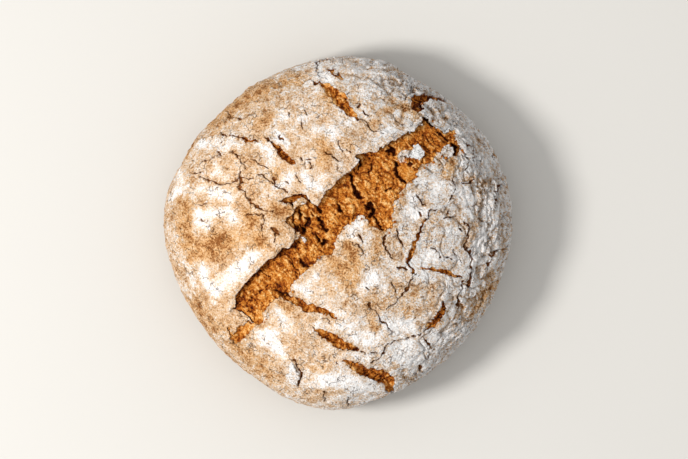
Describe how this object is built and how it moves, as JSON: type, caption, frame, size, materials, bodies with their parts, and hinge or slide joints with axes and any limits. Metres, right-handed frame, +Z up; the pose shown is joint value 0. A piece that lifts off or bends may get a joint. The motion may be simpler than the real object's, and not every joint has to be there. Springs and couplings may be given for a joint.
{
  "type": "round potato bread loaf",
  "caption": "Round hearth loaf of potato bread: a low floured dome with a torn score across its top, cracked crust and a flat foot to rest on.",
  "frame": {"origin": "middle of the flat foot, at the level the loaf rests on", "axes": "+Z up through the dome, +Y towards the top of the view from above, +X to the right of that view; the score runs from -X -Y to +X +Y"},
  "size_m": [0.2206, 0.2247, 0.0847],
  "materials": {
    "crust": "dry baked crust dusted with flour, matte",
    "crumb": "rough browned crumb laid open in the tears, matte"
  },
  "bodies": {
    "root": {"loaf": "crust"}
  },
  "joints": []
}
